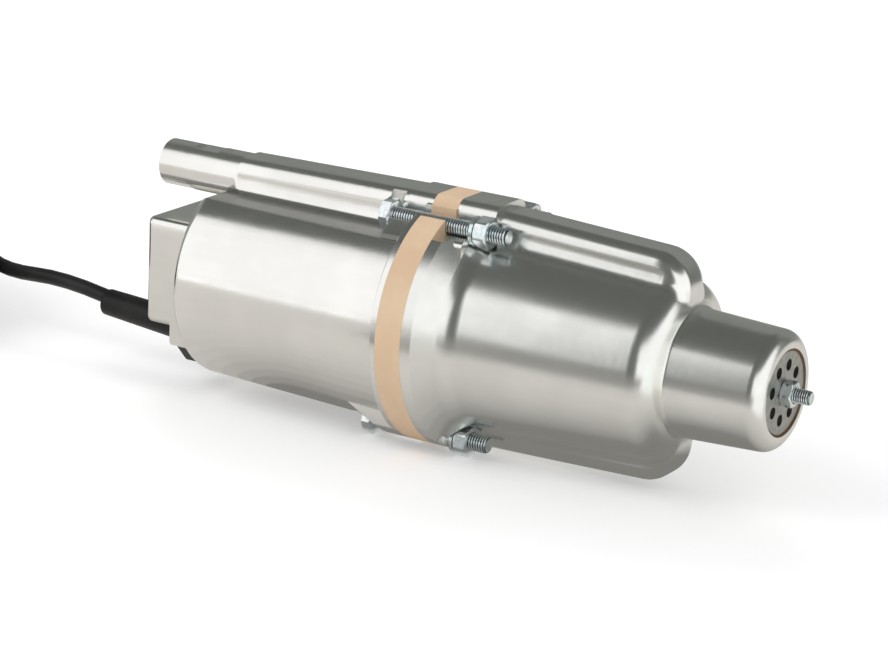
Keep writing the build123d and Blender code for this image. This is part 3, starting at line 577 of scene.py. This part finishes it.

# %% [markdown]
# Bolts, nuts and washers are zinc plated: bright, a little blue, with faint blue tints where
# the passivation varies, and fine turned or rolled marks. The passivation is a thin milky film over the
# metal, so the shader is a little less than fully metallic. Little light gets down into the roots of a
# thread, so the bolts have a finish of their own that is dark there: it measures how far each point is
# from its bolt's axis. The valve plate and the turned steel inside are plain, darker and duller.

# %% Zinc plating
def plated_steel(name, base, tint, roughness, marks=0.35, metallic=1.0):
    finish = Finish(name, Metallic=metallic)
    clouds = finish.noise(2.5, detail=3.0)
    grain = finish.noise(marks, stretch=(2.0, 0.6, 0.6), detail=2.0)
    finish.surface(Base_Color=finish.mix(finish.steps(clouds, 0.35, 0.65), base, tint),
                   Roughness=roughness + clouds * 0.12,
                   Normal=finish.bump(grain, 0.01, finish.soft_edges(0.1)))
    return finish


def threaded_steel(name, spread, height, thread_radius):
    """Zinc plating with dark thread roots, for bolts at `spread` and `height` from the pump's axis."""
    finish = Finish(name, Metallic=0.9)
    clouds = finish.noise(2.5, detail=3.0)
    plating = finish.mix(finish.steps(clouds, 0.35, 0.65), (0.92, 0.95, 0.96, 1), (0.74, 0.84, 0.86, 1))
    across = finish.node("ShaderNodeVectorMath", {"operation": "ABSOLUTE"},
                         {0: finish.node("ShaderNodeVectorMath", {"operation": "SUBTRACT"},
                                         {0: finish.place_of_point(), 1: (0, 0, axis_z / MM)})})
    from_axis = finish.node("ShaderNodeVectorMath", {"operation": "MULTIPLY_ADD"},
                            {0: across, 1: (0, 1, 1), 2: (0, -spread, -height)})
    away = finish.node("ShaderNodeVectorMath", {"operation": "LENGTH"}, {0: from_axis}, "Value")
    facing = finish.node("ShaderNodeNewGeometry", output="Normal")
    end_face = finish.steps(finish.node("ShaderNodeSeparateXYZ", {}, {0: facing}, 0), 0.95, 0.99)
    root = (1 - finish.steps(away, thread_radius * 0.84, thread_radius * 0.97)) * (1 - end_face)
    return finish.surface(Base_Color=finish.mix(root, plating, (0.16, 0.20, 0.21, 1)),
                          Roughness=clouds * 0.12 + 0.1, Normal=finish.soft_edges(0.06))


zinc = plated_steel("zinc_plating", (0.92, 0.95, 0.96, 1), (0.74, 0.84, 0.86, 1), 0.08, metallic=0.9)
zinc.on("adjusting_washers", "hub_washers", "hub_nut", "piston_washers", "piston_nuts", "valve_stop",
        "vibrator_rod")
bolt_spread = 14.1
bolt_height = 37.1
bolt_diameter = 6.0
stud_diameter = 5.0
bolt_zinc = threaded_steel("bolt_zinc", bolt_spread, bolt_height, bolt_diameter / 2)
stud_zinc = threaded_steel("stud_zinc", 0, 0, stud_diameter / 2)
plate_finish = plated_steel("valve_plate_steel", (0.46, 0.46, 0.43, 1), (0.38, 0.38, 0.355, 1), 0.32)
plate_finish.on("valve_plate")
hub_finish = plated_steel("turned_steel", (0.66, 0.67, 0.68, 1), (0.60, 0.61, 0.62, 1), 0.25)
hub_finish.on("absorber_hub", "spacer_sleeve", "piston_bush", "valve_bush")
print("plating finished")

# %% [markdown]
# A mesh of its own makes each fastener, because a real thread is a ridge that climbs round the shank. All
# of them are turned about X. `turned_mesh` joins rings of points into a closed skin, and each ring gives
# its radius for every direction, so a thread, a hexagon and a plain round are the same kind of ring.

# %% Turned meshes
round_steps = 48
thread_depth = 0.6
steps_per_pitch = 8
corner_chamfer = 0.55


def finished_mesh(name, shape, sharp_angle):
    """An object of the points and faces in `shape`, smooth but for its edges above `sharp_angle`."""
    mesh = bpy.data.meshes.new(name)
    bmesh.ops.recalc_face_normals(shape, faces=shape.faces)
    shape.to_mesh(mesh)
    shape.free()
    mesh.shade_smooth()
    mesh.set_sharp_from_angle(angle=radians(sharp_angle))
    obj = bpy.data.objects.new(name, mesh)
    bpy.context.scene.collection.objects.link(obj)
    return obj


def turned_mesh(name, rings, centre, bore=False):
    """Closed skin through rings of (x, radius of an angle), in millimetres, about an axis along X."""
    shape = bmesh.new()
    loops = []
    for x, radius in rings:
        loop = []
        for i in range(round_steps):
            turn = 2 * pi * i / round_steps
            away = radius(turn) if callable(radius) else radius
            along = x(turn) if callable(x) else x
            point = place(along, centre[0] + away * cos(turn), centre[1] + away * sin(turn))
            loop.append(shape.verts.new(point))
        loops.append(loop)
    pairs = list(zip(loops, loops[1:])) + ([(loops[-1], loops[0])] if bore else [])
    for near, far in pairs:
        for i in range(round_steps):
            after = (i + 1) % round_steps
            shape.faces.new((near[i], near[after], far[after], far[i]))
    if not bore:
        shape.faces.new(loops[0][::-1])
        shape.faces.new(loops[-1])
    return finished_mesh(name, shape, 32)


def thread_rings(start, end, diameter, pitch, taper):
    """Rings of a rolled thread, with its far end, at `end`, chamfered over `taper`."""
    root = diameter / 2 - thread_depth * pitch
    count = int((end - start) / pitch * steps_per_pitch)
    rings = []
    for k in range(count + 1):
        x = start + (end - start) * k / count
        limit = root + max(0.0, min(1.0, (end - x) / taper)) * (diameter / 2 - root)

        def radius(turn, x=x, limit=limit):
            phase = (x / pitch - turn / (2 * pi)) % 1.0
            ridge = min(1.0, max(0.0, 1.6 - abs(4 * phase - 2) * 0.9))
            return min(limit, root + ridge * (diameter / 2 - root))

        rings.append((x, radius))
    return rings


def hexagon(across_flats, lean):
    """Radius of a hexagon for an angle, with one flat turned by `lean` from the Y axis."""
    def radius(turn):
        return across_flats / 2 / cos((turn - lean + pi / 6) % (pi / 3) - pi / 6)
    return radius


def hex_rings(across_flats, start, end, lean):
    """Rings of a hexagon with its corners turned off at both faces."""
    flat = across_flats / 2 * 0.96
    corner = hexagon(across_flats, lean)

    def chamfer(turn):
        return (corner(turn) - flat) * corner_chamfer

    return [(start, flat), (lambda turn: start + chamfer(turn), corner),
            (lambda turn: end - chamfer(turn), corner), (end, flat)]


print("turned meshes ready")

# %% [markdown]
# Four M6 bolts hold the two castings together. Each one has a hexagon head behind the magnet housing's
# ear, a rolled thread along its whole shank, a split spring washer and a nut. They lie in open slots, so
# their threads show beside the outlet tube. Each nut stands at its own turn, as a spanner left it.

# %% Clamp bolts, washers and nuts
bolt_pitch = 1.0
bolt_length = 45.0
bolt_across_flats = 10.0
bolt_head_height = 4.0
bolt_nut_height = 5.0
nut_clearance = 0.05
washer_thickness = 1.6
washer_outer = 5.4
head_faces = {1: -12.1, -1: -15.6}
nut_turns = {"upper_near": -18, "lower_near": -12, "upper_far": 9, "lower_far": 4}
washer_faces = {1: 19.8, -1: 16.2}


def nut_mesh(name, across_flats, start, end, bore, centre, lean):
    """Hexagon nut with a countersunk bore."""
    sink = 0.5
    outside = hex_rings(across_flats, start, end, lean)
    inside = [(end, bore + sink), (end - sink, bore), (start + sink, bore), (start, bore + sink)]
    return turned_mesh(name, outside + inside, centre, bore=True)


def spring_washer(name, start, centre, gap_turn):
    """Split ring whose two cut ends stand a little apart along the bolt."""
    shape = bmesh.new()
    inner = bolt_diameter / 2 + 0.15
    lift = 0.25
    thickness = washer_thickness - lift
    gap = radians(16)
    steps = 40
    sections = []
    for i in range(steps + 1):
        share = i / steps
        turn = gap_turn + gap / 2 + (2 * pi - gap) * share
        base = start + lift * share
        top = base + thickness
        corners = ((base, inner), (base, washer_outer), (top, washer_outer), (top, inner))
        sections.append([shape.verts.new(place(x, centre[0] + r * cos(turn), centre[1] + r * sin(turn)))
                         for x, r in corners])
    for near, far in zip(sections, sections[1:]):
        for k in range(4):
            shape.faces.new((near[k], near[(k + 1) % 4], far[(k + 1) % 4], far[k]))
    shape.faces.new(sections[0][::-1])
    shape.faces.new(sections[-1])
    return finished_mesh(name, shape, 30)


def fit(piece, node, finish):
    """Puts a plated piece in the place of a CAD node, with its finish."""
    finish.on(piece.name)
    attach(piece, "pump")
    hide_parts(node)


bolt_names = []
for side, side_name in ((-1, "near"), (1, "far")):
    for level, level_name in ((1, "upper"), (-1, "lower")):
        tag = f"{level_name}_{side_name}"
        centre = (side * bolt_spread, level * bolt_height)
        under_head, washer_face = head_faces[level], washer_faces[level]
        head = hex_rings(bolt_across_flats, under_head - bolt_head_height, under_head, radians(30))
        shank = thread_rings(under_head, under_head + bolt_length, bolt_diameter, bolt_pitch, 0.8)
        bolt = turned_mesh(f"clamp_bolt_{tag}", head + shank, centre)
        fit(bolt, "clamp_bolts", bolt_zinc)
        nut_face = washer_face + washer_thickness
        nut = nut_mesh(f"clamp_nut_{tag}", bolt_across_flats, nut_face, nut_face + bolt_nut_height,
                       bolt_diameter / 2 + nut_clearance, centre, radians(nut_turns[tag]))
        fit(nut, "clamp_nuts", zinc)
        washer = spring_washer(f"spring_washer_{tag}", washer_face, centre, radians(60) * side * level)
        fit(washer, "spring_washers", zinc)
        bolt_names.append(bolt.name)
print(len(bolt_names), "clamp bolts")

# %% [markdown]
# The intake valve is held by an M5 stud through the middle of the plate. Its rolled end and a small nut
# stand out of the nose.

# %% Valve stud and nut
stud_pitch = 0.8
stud_across_flats = 8.0
stud_head_height = 3.3
stud_nut_height = 4.0
plate_front = 131.2
stud_end = 141.0
stud_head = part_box("valve_stud")[0].x / MM - joint_x / MM
head_top = stud_head + stud_head_height
stud_rings = hex_rings(stud_across_flats, stud_head, head_top, radians(30))
stud_rings += thread_rings(head_top, stud_end, stud_diameter, stud_pitch, 0.7)
fit(turned_mesh("valve_stud_thread", stud_rings, (0, 0)), "valve_stud", stud_zinc)
stud_nut = nut_mesh("valve_stud_nut", stud_across_flats, plate_front, plate_front + stud_nut_height,
                    stud_diameter / 2 + nut_clearance, (0, 0), radians(30))
fit(stud_nut, "valve_nut", zinc)
print("stud from", round(stud_head, 1), "to", stud_end)

# %% [markdown]
# Most of what makes the pump work is hidden: a laminated core with two coils in cast compound, and the
# armature, rod, hub and piston that they shake. Each hidden solid still gets its own finish, because the
# part can be taken to pieces. Laminations and wire turns are lines a fraction of a millimetre apart, so
# they are relief made from the piece's own coordinates.

# %% Hidden pieces
def lined_finish(name, light, dark, spacing_mm, axis, roughness, metallic):
    """Parallel lines across one axis, as on laminations or wound wire."""
    finish = Finish(name, Metallic=metallic)
    split = finish.node("ShaderNodeSeparateXYZ", {}, {0: finish.place_of_point(spacing_mm)}, axis)
    wave = finish.node("ShaderNodeMath", {"operation": "PINGPONG"}, {0: split, 1: 0.5}) * 2
    edge = finish.steps(wave, 0.0, 0.35)
    finish.surface(Base_Color=finish.mix(edge, dark, light), Roughness=roughness + (1 - edge) * 0.2,
                   Normal=finish.bump(edge, 0.05))
    return finish


laminations = lined_finish("laminations", (0.30, 0.30, 0.31, 1), (0.09, 0.08, 0.08, 1), 0.5, 1, 0.42, 0.9)
laminations.on("stator_core", "armature")
copper_wire = lined_finish("copper_wire", (0.55, 0.20, 0.07, 1), (0.16, 0.05, 0.02, 1), 0.55, 0, 0.3, 0.8)
copper_wire.on("winding_upper", "winding_lower")
bobbin_plastic = rubber("bobbin_plastic", (0.03, 0.03, 0.03, 1), (0.05, 0.05, 0.05, 1), 0.45)
bobbin_plastic.on("bobbin_upper", "bobbin_lower", "support_disc")
compound = rubber("cast_compound", (0.06, 0.045, 0.035, 1), (0.09, 0.07, 0.05, 1), 0.25, 2.0, 0.02)
compound.on("potting_compound")
rubber("plug_plastic", (0.012, 0.012, 0.012, 1), (0.02, 0.02, 0.02, 1), 0.4).on("plug_body")
plated_steel("nickel_pins", (0.72, 0.70, 0.66, 1), (0.66, 0.64, 0.60, 1), 0.16).on("plug_pins")
print("hidden pieces finished")
